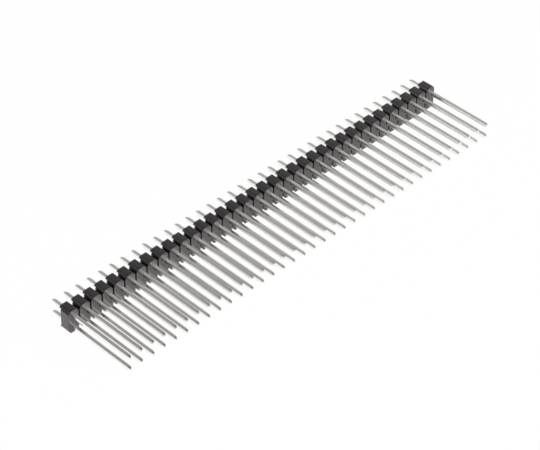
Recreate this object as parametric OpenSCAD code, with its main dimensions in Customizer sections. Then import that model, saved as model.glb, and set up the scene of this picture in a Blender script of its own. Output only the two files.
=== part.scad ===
// Double-row break-away pin header with extra-long posts, lying on its side.
// X runs along the strip, the posts point along -Y and the solder tails along +Y.
// Y = 0 is the plane of the feet that stand on a circuit board, and the two
// rows lie at equal heights above and below Z = 0.

/* [Strip] */
// Number of columns, each with an upper and a lower pin
columns = 36; // [2:1:50]
// Distance between neighbouring pins, along the strip and between the rows
pitch = 2.54; // [2.4:0.02:3]

/* [Body] */
// Thickness of the body along the pins
body_thickness = 2.5; // [2.2:0.02:4]
// Height of the body across both rows
body_height = 4.84; // [4.6:0.02:5.4]
// Width of the flat land on the top and bottom of each cell
land_width = 1.4; // [0.8:0.02:1.7]
// Height of the sloping flanks beside each land
flank_height = 0.6; // [0.4:0.02:0.76]
// Chamfer along the long outer edges of every cell
edge_chamfer = 0.08; // [0.04:0.01:0.16]

/* [Break lines] */
// Width of the slot between neighbouring cells
slot_width = 0.28; // [0.12:0.02:0.5]
// Height of the web that joins neighbouring cells
web_height = 2.94; // [1:0.02:3.1]
// Depth of the scored groove down each web on the post side
groove_depth = 0.35; // [0.1:0.05:0.6]

/* [Board side] */
// Depth of the channel between the upper and lower feet
channel_depth = 0.5; // [0.3:0.01:0.9]
// Thickness of the feet above and below the channel
foot_thickness = 0.39; // [0.24:0.01:0.45]

/* [Pins] */
// Side of the square pin wire
pin_size = 0.64; // [0.5:0.01:0.76]
// Length of the posts beyond the body
post_length = 14.21; // [3:0.01:30]
// Length of the solder tails beyond the feet
tail_length = 2.82; // [1.5:0.01:6]
// Length of the tapered tip at each end of a pin
taper_length = 0.6; // [0.2:0.05:1]
// Side of the small square face that ends each tip
tip_size = 0.34; // [0.2:0.01:0.4]
// Width across the coined barbs that hold a pin in the body
barb_width = 0.84; // [0.78:0.01:1]
// Length of the coined barbs along the pin
barb_length = 0.9; // [0.5:0.05:1]
// Length of the slope that leads up to each end of a barb
barb_lead = 0.15; // [0.05:0.01:0.2]

/* [Fit] */
// Gap between each pin and the moulding around it
pin_clearance = 0.01; // [0.005:0.005:0.03]

/* [Hidden] */
strip_length = columns * pitch - slot_width;
cell_width = pitch - slot_width;
top = body_height / 2;
post_face = -body_thickness;
channel_floor = -channel_depth;
channel_height = body_height - 2 * foot_thickness;
row_height = pitch / 2;
post_end = post_face - post_length;
tail_end = tail_length;
barb_middle = (post_face + channel_floor) / 2;
// Overshoot of a cutting shape past the face that it opens
past = 0.5;

function pins_name(i) = str("pins_", i < 10 ? "0" : "", i);
function column_x(i) = (i - (columns + 1) / 2) * pitch;

// Outline of one cell across the strip, as points in X and Z
function cell_outline() = [
    [land_width / 2, top],
    [cell_width / 2, top - flank_height],
    [cell_width / 2, flank_height - top],
    [land_width / 2, -top],
    [-land_width / 2, -top],
    [-cell_width / 2, flank_height - top],
    [-cell_width / 2, top - flank_height],
    [-land_width / 2, top]];

// Outline of the body along the pins, as points in Y and Z
function side_outline() = [
    [post_face, top - edge_chamfer],
    [post_face + edge_chamfer, top],
    [-edge_chamfer, top],
    [0, top - edge_chamfer],
    [0, edge_chamfer - top],
    [-edge_chamfer, -top],
    [post_face + edge_chamfer, -top],
    [post_face, edge_chamfer - top]];

// Half widths of a pin at places along Y, from the post's tip to the tail's
function wire_widths(grow) = [
    [post_end, tip_size / 2 + grow],
    [post_end + taper_length, pin_size / 2 + grow],
    [tail_end - taper_length, pin_size / 2 + grow],
    [tail_end, tip_size / 2 + grow]];

// The same for the barbs alone, around the middle of the moulding
function barb_widths(grow) = [
    [barb_middle - barb_length / 2, pin_size / 2 + grow],
    [barb_middle - barb_length / 2 + barb_lead, barb_width / 2 + grow],
    [barb_middle + barb_length / 2 - barb_lead, barb_width / 2 + grow],
    [barb_middle + barb_length / 2, pin_size / 2 + grow]];

// A closed outline, the same on both sides of Y, from half widths along it
function both_sides(widths) = concat(
    [for (w = widths) w],
    [for (k = [len(widths) - 1 : -1 : 0]) [widths[k][0], -widths[k][1]]]);

// Extrudes an outline given in X and Z from Y = 0 towards the posts
module across(depth) {
    rotate([90, 0, 0])
        linear_extrude(depth)
            children();
}

// Extrudes an outline given in Y and Z to both sides of X = 0
module along(length) {
    rotate([90, 0, 90])
        linear_extrude(length, center = true)
            children();
}

// One square pin with tapered tips, grown all round to cut its own seat
module pin(grow = 0) {
    intersection() {
        union() {
            along(pin_size + 2 * grow)
                polygon(both_sides(wire_widths(grow)));
            along(barb_width + 2 * grow)
                polygon(both_sides([barb_widths(grow)[0], barb_widths(grow)[3]]));
        }
        linear_extrude(pin_size + 2 * grow, center = true)
            for (widths = [wire_widths(grow), barb_widths(grow)])
                polygon([for (p = both_sides(widths)) [p[1], p[0]]]);
    }
}

// The upper and lower pin of one column
module column_pins(i, grow = 0) {
    for (side = [-1, 1])
        translate([column_x(i), 0, side * row_height])
            pin(grow);
}

// One moulded strip: the cells, the webs between them, the channel and the pin seats
module body() {
    color([0.03, 0.03, 0.03])
        difference() {
            union() {
                intersection() {
                    for (i = [1 : columns])
                        translate([column_x(i), 0, 0])
                            across(body_thickness)
                                polygon(cell_outline());
                    along(strip_length)
                        polygon(side_outline());
                }
                translate([0, post_face + groove_depth, 0])
                    along_box(strip_length - cell_width, channel_floor - post_face - groove_depth, web_height);
            }
            translate([0, channel_floor, 0])
                along_box(strip_length + 2 * past, channel_depth + past, channel_height);
            for (i = [1 : columns])
                column_pins(i, pin_clearance);
        }
}

// A box centred in X and Z that starts at Y = 0
module along_box(length, depth, height) {
    translate([-length / 2, 0, -height / 2])
        cube([length, depth, height]);
}

// One column's two pins of plated wire
module pins(i) {
    color([0.8, 0.8, 0.79])
        column_pins(i);
}

body();
for (i = [1 : columns])
    pins(i);
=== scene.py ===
import math

import bmesh
import bpy
from bpy.props import FloatProperty, FloatVectorProperty, PointerProperty
from mathutils import Euler, Matrix, Vector


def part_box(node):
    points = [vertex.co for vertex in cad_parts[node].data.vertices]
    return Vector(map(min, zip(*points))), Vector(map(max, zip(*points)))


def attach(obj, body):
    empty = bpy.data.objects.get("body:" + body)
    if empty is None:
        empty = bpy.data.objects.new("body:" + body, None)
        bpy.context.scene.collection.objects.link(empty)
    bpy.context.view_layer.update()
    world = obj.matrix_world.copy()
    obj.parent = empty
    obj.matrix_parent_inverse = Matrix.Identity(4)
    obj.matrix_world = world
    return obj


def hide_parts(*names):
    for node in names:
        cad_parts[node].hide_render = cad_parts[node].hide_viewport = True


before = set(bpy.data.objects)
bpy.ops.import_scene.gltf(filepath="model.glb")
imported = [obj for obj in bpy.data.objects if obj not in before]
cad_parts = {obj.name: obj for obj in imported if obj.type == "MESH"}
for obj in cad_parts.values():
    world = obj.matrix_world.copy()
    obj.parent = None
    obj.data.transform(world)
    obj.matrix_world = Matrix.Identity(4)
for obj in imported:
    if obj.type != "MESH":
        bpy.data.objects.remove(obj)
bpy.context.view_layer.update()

bl_info = {
    "name": "Pin header strip",
    "version": (1, 0, 0),
    "blender": (4, 5, 0),
    "location": "View3D > Sidebar > Pin header",
    "description": "Dresses a double-row break-away pin header with extra-long posts",
    "category": "Add Mesh",
}

MM = 0.001
PIN_NODES = sorted(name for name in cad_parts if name.startswith("pins_"))
COLUMNS = len(PIN_NODES)

# Sizes that the frame gives: the body's box, and the first two columns of pins.
BODY_LOW, BODY_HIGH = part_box("body")
PINS_LOW, PINS_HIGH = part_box(PIN_NODES[0])
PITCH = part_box(PIN_NODES[1])[0].x - PINS_LOW.x
ROW_HEIGHT = PITCH / 2
PIN_SIZE = 2 * (PINS_HIGH.z - ROW_HEIGHT)
BARB_WIDTH = PINS_HIGH.x - PINS_LOW.x
CELL_WIDTH = BODY_HIGH.x - BODY_LOW.x - (COLUMNS - 1) * PITCH
POST_FACE = BODY_LOW.y
BOARD_FACE = BODY_HIGH.y
TOP = BODY_HIGH.z

# The floor lies this far under the strip, so that their faces never coincide.
FLOOR_GAP = 0.02 * MM

# How near points count as one point, a cut counts as through a point, and faces count as in one plane.
SAME_POINT = 0.0001 * MM
CUT_REACH = 0.00001 * MM
SAME_PLANE = 0.001 * MM

# The moulding's edges are rounded past the first angle, the wire's past the second, and shading breaks
# past the third.
MOULDED_EDGE = math.radians(20)
WIRE_EDGE = math.radians(45)
SHADING_EDGE = math.radians(40)

# Brightness of the surroundings by height: the Z of a direction, and how bright it is there.
SURROUNDINGS = ((0.2, 0.36), (0.6, 0.5), (0.85, 0.06))

# Lights: name, direction from the strip, side in metres, power in watts, and whether reflections show it.
SOFTBOX_DISTANCE = 0.8
SOFTBOXES = (
    ("key", (-0.6, -0.7, 0.9), 0.6, 6.0, False),
    ("fill", (0.557, -0.517, 0.65), 0.6, 2.3, True),
    ("back", (-0.585, 0.51, 0.63), 0.25, 0.08, True),
)


def column_x(column):
    """Where a column's pins lie along the strip; columns count from 0."""
    return (column - (COLUMNS - 1) / 2) * PITCH


# ---------------------------------------------------------------- settings

def length(name, description, default_mm, soft_max_mm=5.0):
    """A length property, given in millimetres and kept in metres."""
    return FloatProperty(name=name, description=description, default=default_mm * MM,
                         min=0.0, soft_max=soft_max_mm * MM, precision=6, subtype="DISTANCE", unit="LENGTH")


def share(name, description, default):
    """A plain number from 0 to 1."""
    return FloatProperty(name=name, description=description, default=default,
                         min=0.0, max=1.0, subtype="FACTOR")


def colour(name, description, default):
    """A linear RGB colour."""
    return FloatVectorProperty(name=name, description=description, default=default,
                               size=3, min=0.0, max=1.0, subtype="COLOR")


class HeaderBodySizes(bpy.types.PropertyGroup):
    """Sizes of the moulded body that the frame doesn't give."""
    land_width: length("Land width", "Flat land on the top and bottom of each cell", 1.4)
    flank_height: length("Flank height", "Height of the sloping flanks beside each land", 0.6)
    web_height: length("Web height", "Height of the web that joins two cells", 2.94)
    groove_depth: length("Groove depth", "Depth of the scored groove down each web", 0.35)
    channel_depth: length("Channel depth", "Depth of the channel between the feet", 0.5)
    foot_thickness: length("Foot thickness", "Thickness of the feet beside the channel", 0.39)
    edge_radius: length("Edge radius", "Roundness of the moulded edges", 0.07)
    seat_depth: length("Seat depth", "How far the seat around each pin reaches in", 0.3)
    seat_gap: length("Seat gap", "Gap between each pin and its seat", 0.015)


class HeaderPinSizes(bpy.types.PropertyGroup):
    """Sizes of the pins that the frame doesn't give."""
    taper_length: length("Taper length", "Length of the tapered tip at each end", 0.6)
    tip_size: length("Tip size", "Side of the small face that ends each tip", 0.34)
    barb_length: length("Barb length", "Length of the coined barbs inside the body", 0.9)
    barb_lead: length("Barb lead", "Slope up to each end of a barb", 0.15)
    edge_radius: length("Edge radius", "Roundness of the drawn wire's edges", 0.05)


class HeaderFinish(bpy.types.PropertyGroup):
    """Colours and gloss of the two materials."""
    moulding_colour: colour("Moulding colour", "Black moulded plastic", (0.005, 0.0045, 0.0047))
    moulding_ior: FloatProperty(name="Moulding IOR", description="How strongly the plastic's skin mirrors",
                                default=1.88, min=1.0, soft_max=2.5)
    moulding_tint: colour("Moulding tint", "Faint warm tint of the plastic's reflections", (1.0, 0.94, 0.95))
    moulding_roughness: share("Moulding roughness", "Blur of the plastic's reflections", 0.2)
    plating_colour: colour("Plating colour", "Bright tin plating", (0.955, 0.94, 0.9))
    plating_roughness: share("Plating roughness", "Blur of the plating's reflections", 0.18)


class HeaderStage(bpy.types.PropertyGroup):
    """Camera, floor and light."""
    azimuth: FloatProperty(name="Azimuth", description="Camera direction, from -Y towards +X",
                           default=math.radians(-45.835), subtype="ANGLE", unit="ROTATION")
    elevation: FloatProperty(name="Elevation", description="Camera height angle",
                             default=math.radians(40.54), subtype="ANGLE", unit="ROTATION")
    roll: FloatProperty(name="Roll", description="Camera roll about its own axis",
                        default=math.radians(1.329), subtype="ANGLE", unit="ROTATION")
    distance: length("Distance", "Camera distance from the point that it looks at", 363.424, 1000.0)
    aim: FloatVectorProperty(name="Aim", description="Point that the camera looks at",
                             default=(-3.608 * MM, -7.735 * MM, 0.0), subtype="TRANSLATION", unit="LENGTH")
    lens: FloatProperty(name="Lens", description="Focal length in millimetres on a 36 mm sensor",
                        default=138.015, min=1.0)
    floor_size: length("Floor size", "Side of the square floor", 3000.0, 5000.0)
    floor_white: share("Floor white", "How much of the floor's look is plain white", 0.96)


# ---------------------------------------------------------------- mesh helpers

def everything(bm):
    """All of a bmesh's parts, as its operators want them."""
    return bm.verts[:] + bm.edges[:] + bm.faces[:]


def start_face(bm, corners):
    """The flat face that a shape is pulled out from."""
    return bm.faces.new([bm.verts.new(corner) for corner in corners])


def pull(bm, faces, offset, first=False):
    """Extrudes faces by an offset and gives the moved ones. A first pull keeps its start as the far cap."""
    made = bmesh.ops.extrude_face_region(bm, geom=faces)["geom"]
    bmesh.ops.translate(bm, vec=offset, verts=[g for g in made if isinstance(g, bmesh.types.BMVert)])
    if not first:
        bmesh.ops.delete(bm, geom=faces, context="FACES")
    return [g for g in made if isinstance(g, bmesh.types.BMFace)]


def cut(bm, axis, place):
    """Cuts every face along the plane at that place on an axis, and takes nothing away."""
    normal = Vector((0, 0, 0))
    normal[axis] = 1.0
    bmesh.ops.bisect_plane(bm, geom=everything(bm), plane_co=normal * place, plane_no=normal,
                           dist=CUT_REACH)


def round_edges(bm, radius, segments, least_angle):
    """Bevels every outward edge that is sharper than an angle."""
    bmesh.ops.recalc_face_normals(bm, faces=bm.faces[:])
    edges = [e for e in bm.edges if e.is_manifold and e.calc_face_angle_signed() > least_angle]
    bmesh.ops.bevel(bm, geom=edges, offset=radius, segments=segments, profile=0.5, affect="EDGES",
                    clamp_overlap=True, material=-1)


def finished_piece(name, bm, node, material):
    """Turns a bmesh into a piece at the origin that stands for a CAD node."""
    bmesh.ops.recalc_face_normals(bm, faces=bm.faces[:])
    for face in bm.faces:
        face.smooth = True
    mesh = bpy.data.meshes.new(name)
    bm.to_mesh(mesh)
    bm.free()
    mesh.set_sharp_from_angle(angle=SHADING_EDGE)
    mesh.materials.append(material)
    piece = bpy.data.objects.new(name, mesh)
    bpy.context.scene.collection.objects.link(piece)
    flats = piece.modifiers.new("Flat faces stay flat", "WEIGHTED_NORMAL")
    flats.keep_sharp = True
    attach(piece, "root")
    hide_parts(node)
    return piece


# ---------------------------------------------------------------- material helpers

def new_material(name):
    """A node material with its Principled shader, ready to wire up."""
    material = bpy.data.materials.new(name)
    material.use_nodes = True
    return material, material.node_tree, material.node_tree.nodes["Principled BSDF"]


def add_node(tree, kind, **values):
    """Adds a node and sets its named inputs or attributes."""
    node = tree.nodes.new(kind)
    for name, value in values.items():
        if name in node.inputs:
            node.inputs[name].default_value = value
        else:
            setattr(node, name, value)
    return node


def surface_grain():
    """Fine uneven grain: a value from Low to High, and a normal with that grain as bump."""
    name = "Surface grain"
    if name in bpy.data.node_groups:
        return bpy.data.node_groups[name]
    tree = bpy.data.node_groups.new(name, "ShaderNodeTree")
    tree.interface.new_socket(name="Stretch", in_out="INPUT",
                              socket_type="NodeSocketVector").default_value = (1.0, 1.0, 1.0)
    for socket, default in (("Scale", 1000.0), ("Low", 0.0), ("High", 1.0),
                            ("Bump", 0.1), ("Depth", 0.00001)):
        tree.interface.new_socket(name=socket, in_out="INPUT",
                                  socket_type="NodeSocketFloat").default_value = default
    tree.interface.new_socket(name="Value", in_out="OUTPUT", socket_type="NodeSocketFloat")
    tree.interface.new_socket(name="Normal", in_out="OUTPUT", socket_type="NodeSocketVector")
    given = tree.nodes.new("NodeGroupInput")
    result = tree.nodes.new("NodeGroupOutput")
    place = tree.nodes.new("ShaderNodeTexCoord")
    stretched = add_node(tree, "ShaderNodeVectorMath", operation="MULTIPLY")
    noise = add_node(tree, "ShaderNodeTexNoise", Detail=3.0, Roughness=0.6)
    spread = tree.nodes.new("ShaderNodeMapRange")
    bump = tree.nodes.new("ShaderNodeBump")
    link = tree.links.new
    link(place.outputs["Object"], stretched.inputs[0])
    link(given.outputs["Stretch"], stretched.inputs[1])
    link(stretched.outputs["Vector"], noise.inputs["Vector"])
    link(given.outputs["Scale"], noise.inputs["Scale"])
    link(noise.outputs["Fac"], spread.inputs["Value"])
    link(given.outputs["Low"], spread.inputs["To Min"])
    link(given.outputs["High"], spread.inputs["To Max"])
    spread.inputs["From Min"].default_value = 0.3
    spread.inputs["From Max"].default_value = 0.7
    link(noise.outputs["Fac"], bump.inputs["Height"])
    link(given.outputs["Bump"], bump.inputs["Strength"])
    link(given.outputs["Depth"], bump.inputs["Distance"])
    link(spread.outputs["Result"], result.inputs["Value"])
    link(bump.outputs["Normal"], result.inputs["Normal"])
    return tree


def add_grain(tree, **values):
    """The shared grain in a material, with its own sizes."""
    return add_node(tree, "ShaderNodeGroup", node_tree=surface_grain(), **values)


def blend(tree, factor, first, second):
    """A colour socket that goes from one plain colour to another by a factor socket."""
    mix = add_node(tree, "ShaderNodeMix", data_type="RGBA")
    tree.links.new(factor, mix.inputs["Factor"])
    ends = [socket for socket in mix.inputs if socket.type == "RGBA"]
    for socket, plain in zip(ends, (first, second)):
        socket.default_value = (*plain, 1.0)
    return next(socket for socket in mix.outputs if socket.type == "RGBA")


def moulding_material(finish):
    """Glossy black glass-filled plastic with a faint orange-peel skin."""
    material, tree, shader = new_material("Black moulding")
    rough = finish.moulding_roughness
    skin = add_grain(tree, Scale=2500.0, Low=rough * 0.75, High=rough * 1.25, Bump=0.2, Depth=0.00001)
    fibres = add_grain(tree, Stretch=(1.0, 0.4, 1.0), Scale=6000.0)
    tone = Vector(finish.moulding_colour)
    link = tree.links.new
    link(blend(tree, fibres.outputs["Value"], tone * 0.5, tone * 1.5), shader.inputs["Base Color"])
    link(skin.outputs["Value"], shader.inputs["Roughness"])
    link(skin.outputs["Normal"], shader.inputs["Normal"])
    shader.inputs["IOR"].default_value = finish.moulding_ior
    shader.inputs["Specular Tint"].default_value = (*finish.moulding_tint, 1.0)
    return material


def plating_material(finish):
    """Bright tin plating over drawn wire, with faint streaks along the pins."""
    material, tree, shader = new_material("Tin plating")
    rough = finish.plating_roughness
    streaks = add_grain(tree, Stretch=(1.0, 0.05, 1.0), Scale=9000.0, Low=rough * 0.75, High=rough * 1.25,
                        Bump=0.1, Depth=0.000005)
    clouds = add_grain(tree, Stretch=(1.0, 0.3, 1.0), Scale=1500.0)
    bright = Vector(finish.plating_colour)
    link = tree.links.new
    link(blend(tree, clouds.outputs["Value"], bright * 0.92, bright), shader.inputs["Base Color"])
    link(streaks.outputs["Value"], shader.inputs["Roughness"])
    link(streaks.outputs["Normal"], shader.inputs["Normal"])
    shader.inputs["Metallic"].default_value = 1.0
    return material


# ---------------------------------------------------------------- the body

def cell_shape(sizes, web_left, web_right):
    """One cell of the moulding around X = 0, open where a web joins it to the next cell."""
    bm = bmesh.new()
    land, wall, shoulder = sizes.land_width / 2, CELL_WIDTH / 2, TOP - sizes.flank_height
    half = [(land, TOP), (wall, shoulder), (wall, -shoulder), (land, -TOP)]
    outline = half + [(-x, z) for x, z in reversed(half)]
    start_face(bm, [(x, POST_FACE, z) for x, z in outline])
    web, channel = sizes.web_height / 2, TOP - sizes.foot_thickness
    for height in (-channel, -web, web, channel):
        cut(bm, 2, height)

    groove_floor = POST_FACE + sizes.groove_depth
    channel_floor = BOARD_FACE - sizes.channel_depth
    grooved = pull(bm, bm.faces[:], (0, sizes.groove_depth, 0), first=True)
    backs = pull(bm, grooved, (0, channel_floor - groove_floor, 0))
    feet = [face for face in backs if abs(face.calc_center_median().z) > channel]
    pull(bm, feet, (0, sizes.channel_depth, 0))
    round_edges(bm, sizes.edge_radius, segments=3, least_angle=MOULDED_EDGE)

    for side, joined in ((-1, web_left), (1, web_right)):
        if joined:
            open_web(bm, side, web, groove_floor)
    cut_seats(bm, sizes, channel_floor)
    return bm


def open_web(bm, side, web, groove_floor):
    """Pulls half a web out of a cell's side wall, to where the next cell's half meets it."""
    wall = [face for face in bm.faces if face.normal.x * side > 0.99
            and abs(face.calc_center_median().z) < web
            and face.calc_center_median().y > groove_floor]
    meeting = pull(bm, wall, (side * (PITCH - CELL_WIDTH) / 2, 0, 0))
    bmesh.ops.delete(bm, geom=meeting, context="FACES_ONLY")


def cut_seats(bm, sizes, channel_floor):
    """Sinks a square seat around each pin, on the post side and in the channel."""
    reach = PIN_SIZE / 2 + sizes.seat_gap
    for side in (-1, 1):
        cut(bm, 0, side * reach)
        for row in (-ROW_HEIGHT, ROW_HEIGHT):
            cut(bm, 2, row + side * reach)
    for face_y, inward in ((POST_FACE, sizes.seat_depth), (channel_floor, -sizes.seat_depth)):
        seats = [face for face in bm.faces if covers_pin(face.calc_center_median(), face_y, reach)]
        pull(bm, seats, (0, inward, 0))


def covers_pin(centre, face_y, reach):
    """Whether a point of a flat face lies where a pin comes through it."""
    return (abs(centre.y - face_y) < SAME_PLANE and abs(centre.x) < reach
            and abs(abs(centre.z) - ROW_HEIGHT) < reach)


class HEADER_OT_add_body(bpy.types.Operator):
    """Mould the body: a row of cells joined by thin webs"""
    bl_idname = "header.add_body"
    bl_label = "Add body"

    def execute(self, context):
        sizes = context.scene.header_body
        bm = bmesh.new()
        for column in range(COLUMNS):
            cell = cell_shape(sizes, web_left=column > 0, web_right=column < COLUMNS - 1)
            bmesh.ops.translate(cell, vec=(column_x(column), 0, 0), verts=cell.verts[:])
            mesh = bpy.data.meshes.new("cell")
            cell.to_mesh(mesh)
            cell.free()
            bm.from_mesh(mesh)
            bpy.data.meshes.remove(mesh)
        bmesh.ops.remove_doubles(bm, verts=bm.verts[:], dist=SAME_POINT)
        finished_piece("moulded_body", bm, "body", moulding_material(context.scene.header_finish))
        return {"FINISHED"}


# ---------------------------------------------------------------- the pins

def wire_stations(sizes):
    """Places along a pin, each with half its width across the strip and half its height."""
    tip, wire, barb = sizes.tip_size / 2, PIN_SIZE / 2, BARB_WIDTH / 2
    channel_floor = BOARD_FACE - bpy.context.scene.header_body.channel_depth
    middle = (POST_FACE + channel_floor) / 2
    grip, top = sizes.barb_length / 2, sizes.barb_length / 2 - sizes.barb_lead
    return [
        (PINS_LOW.y, tip, tip),
        (PINS_LOW.y + sizes.taper_length, wire, wire),
        (middle - grip, wire, wire),
        (middle - top, barb, wire),
        (middle + top, barb, wire),
        (middle + grip, wire, wire),
        (PINS_HIGH.y - sizes.taper_length, wire, wire),
        (PINS_HIGH.y, tip, tip)]


def add_wire(bm, stations, x, z):
    """One square pin, pulled from station to station along Y."""
    y, across, up = stations[0]
    corners = [(x - across, y, z - up), (x + across, y, z - up),
               (x + across, y, z + up), (x - across, y, z + up)]
    faces = [start_face(bm, corners)]
    for index, (next_y, next_across, next_up) in enumerate(stations[1:]):
        faces = pull(bm, faces, (0, next_y - y, 0), first=index == 0)
        bmesh.ops.scale(bm, vec=(next_across / across, 1, next_up / up),
                        space=Matrix.Translation((-x, -next_y, -z)), verts=faces[0].verts[:])
        y, across, up = next_y, next_across, next_up


class HEADER_OT_add_pins(bpy.types.Operator):
    """Draw the pins, an upper and a lower one in each column"""
    bl_idname = "header.add_pins"
    bl_label = "Add pins"

    def execute(self, context):
        sizes = context.scene.header_pins
        stations = wire_stations(sizes)
        material = plating_material(context.scene.header_finish)
        for column, node in enumerate(PIN_NODES):
            bm = bmesh.new()
            for row in (-ROW_HEIGHT, ROW_HEIGHT):
                add_wire(bm, stations, column_x(column), row)
            round_edges(bm, sizes.edge_radius, segments=2, least_angle=WIRE_EDGE)
            finished_piece(node.replace("pins", "wires"), bm, node, material)
        return {"FINISHED"}


# ---------------------------------------------------------------- the stage

def white_to_camera(tree, shader, white, share_of_white):
    """Mixes plain white into a shader where the camera or a reflection looks at it."""
    link = tree.links.new
    path = tree.nodes.new("ShaderNodeLightPath")
    seen = add_node(tree, "ShaderNodeMath", operation="MAXIMUM")
    part = add_node(tree, "ShaderNodeMath", operation="MULTIPLY")
    mix = tree.nodes.new("ShaderNodeMixShader")
    link(path.outputs["Is Camera Ray"], seen.inputs[0])
    link(path.outputs["Is Glossy Ray"], seen.inputs[1])
    link(seen.outputs["Value"], part.inputs[0])
    part.inputs[1].default_value = share_of_white
    link(part.outputs["Value"], mix.inputs["Fac"])
    link(shader.outputs[0], mix.inputs[1])
    link(white.outputs[0], mix.inputs[2])
    return mix


def floor_material(stage):
    """A white floor that keeps a faint shadow."""
    material, tree, shader = new_material("White floor")
    shader.inputs["Base Color"].default_value = (0.9, 0.9, 0.9, 1.0)
    shader.inputs["Roughness"].default_value = 0.9
    shader.inputs["Specular IOR Level"].default_value = 0.0
    white = add_node(tree, "ShaderNodeEmission", Strength=1.0)
    mix = white_to_camera(tree, shader, white, stage.floor_white)
    tree.links.new(mix.outputs["Shader"], tree.nodes["Material Output"].inputs["Surface"])
    return material


def add_floor(stage):
    """A flat floor just under the strip."""
    bm = bmesh.new()
    bmesh.ops.create_grid(bm, x_segments=1, y_segments=1, size=stage.floor_size / 2)
    bmesh.ops.translate(bm, vec=(0, 0, BODY_LOW.z - FLOOR_GAP), verts=bm.verts[:])
    mesh = bpy.data.meshes.new("floor")
    bm.to_mesh(mesh)
    bm.free()
    mesh.materials.append(floor_material(stage))
    floor = bpy.data.objects.new("floor", mesh)
    bpy.context.scene.collection.objects.link(floor)


def add_camera(stage):
    """The camera, turned about the point that it looks at."""
    data = bpy.data.cameras.new("camera")
    data.lens = stage.lens
    data.sensor_width = 36.0
    data.sensor_fit = "HORIZONTAL"
    data.clip_start = 0.01
    data.clip_end = 10.0
    camera = bpy.data.objects.new("camera", data)
    turn = Euler((math.pi / 2 - stage.elevation, 0, stage.azimuth), "XYZ").to_matrix().to_4x4()
    camera.matrix_world = (Matrix.Translation(stage.aim) @ turn @ Matrix.Translation((0, 0, stage.distance))
                           @ Matrix.Rotation(stage.roll, 4, "Z"))
    bpy.context.scene.collection.objects.link(camera)
    bpy.context.scene.camera = camera


def add_softbox(name, direction, size, power, mirrored):
    """A square area light that looks at the strip; one that isn't mirrored shows in no reflection."""
    data = bpy.data.lights.new(name, "AREA")
    data.size = size
    data.energy = power
    light = bpy.data.objects.new(name, data)
    light.visible_glossy = mirrored
    away = Vector(direction).normalized()
    turn = away.to_track_quat("Z", "Y").to_matrix().to_4x4()
    light.matrix_world = Matrix.Translation(away * SOFTBOX_DISTANCE) @ turn
    bpy.context.scene.collection.objects.link(light)


def add_world():
    """Soft grey surroundings, brightest halfway up, that the camera sees as white."""
    world = bpy.data.worlds.new("Studio")
    world.use_nodes = True
    bpy.context.scene.world = world
    tree = world.node_tree
    grey = tree.nodes["Background"]
    direction = tree.nodes.new("ShaderNodeTexCoord")
    height = tree.nodes.new("ShaderNodeSeparateXYZ")
    dim = tree.nodes.new("ShaderNodeValToRGB")
    stops = dim.color_ramp.elements
    stops.new(SURROUNDINGS[1][0])
    for stop, (place, tone) in zip(stops, SURROUNDINGS):
        stop.position = place
        stop.color = (tone, tone, tone, 1.0)
    tree.links.new(direction.outputs["Generated"], height.inputs[0])
    tree.links.new(height.outputs["Z"], dim.inputs["Fac"])
    tree.links.new(dim.outputs["Color"], grey.inputs["Color"])
    white = add_node(tree, "ShaderNodeBackground", Strength=1.0)
    path = tree.nodes.new("ShaderNodeLightPath")
    mix = tree.nodes.new("ShaderNodeMixShader")
    tree.links.new(path.outputs["Is Camera Ray"], mix.inputs["Fac"])
    tree.links.new(grey.outputs["Background"], mix.inputs[1])
    tree.links.new(white.outputs["Background"], mix.inputs[2])
    tree.links.new(mix.outputs["Shader"], tree.nodes["World Output"].inputs["Surface"])


class HEADER_OT_add_stage(bpy.types.Operator):
    """Set the camera, the floor and the lights"""
    bl_idname = "header.add_stage"
    bl_label = "Add stage"

    def execute(self, context):
        stage = context.scene.header_stage
        add_camera(stage)
        add_floor(stage)
        add_world()
        for softbox in SOFTBOXES:
            add_softbox(*softbox)
        context.scene.view_settings.view_transform = "Standard"
        return {"FINISHED"}


# ---------------------------------------------------------------- the add-on

class HEADER_PT_panel(bpy.types.Panel):
    """Lists the header's sizes, finishes and pieces"""
    bl_idname = "HEADER_PT_panel"
    bl_label = "Pin header"
    bl_space_type = "VIEW_3D"
    bl_region_type = "UI"
    bl_category = "Pin header"

    def draw(self, context):
        for group in SETTINGS:
            box = self.layout.box()
            for name in group.__annotations__:
                box.prop(getattr(context.scene, SETTINGS[group]), name)
        for operator in OPERATORS:
            self.layout.operator(operator.bl_idname)


SETTINGS = {HeaderBodySizes: "header_body", HeaderPinSizes: "header_pins",
            HeaderFinish: "header_finish", HeaderStage: "header_stage"}
OPERATORS = (HEADER_OT_add_stage, HEADER_OT_add_body, HEADER_OT_add_pins)


def register():
    for cls in (*SETTINGS, *OPERATORS, HEADER_PT_panel):
        bpy.utils.register_class(cls)
    for group, name in SETTINGS.items():
        setattr(bpy.types.Scene, name, PointerProperty(type=group))


def unregister():
    for name in SETTINGS.values():
        delattr(bpy.types.Scene, name)
    for cls in reversed((*SETTINGS, *OPERATORS, HEADER_PT_panel)):
        bpy.utils.unregister_class(cls)


def main():
    """Builds the whole scene."""
    register()
    bpy.ops.header.add_stage()
    bpy.ops.header.add_body()
    bpy.ops.header.add_pins()


if __name__ == "__main__":
    main()
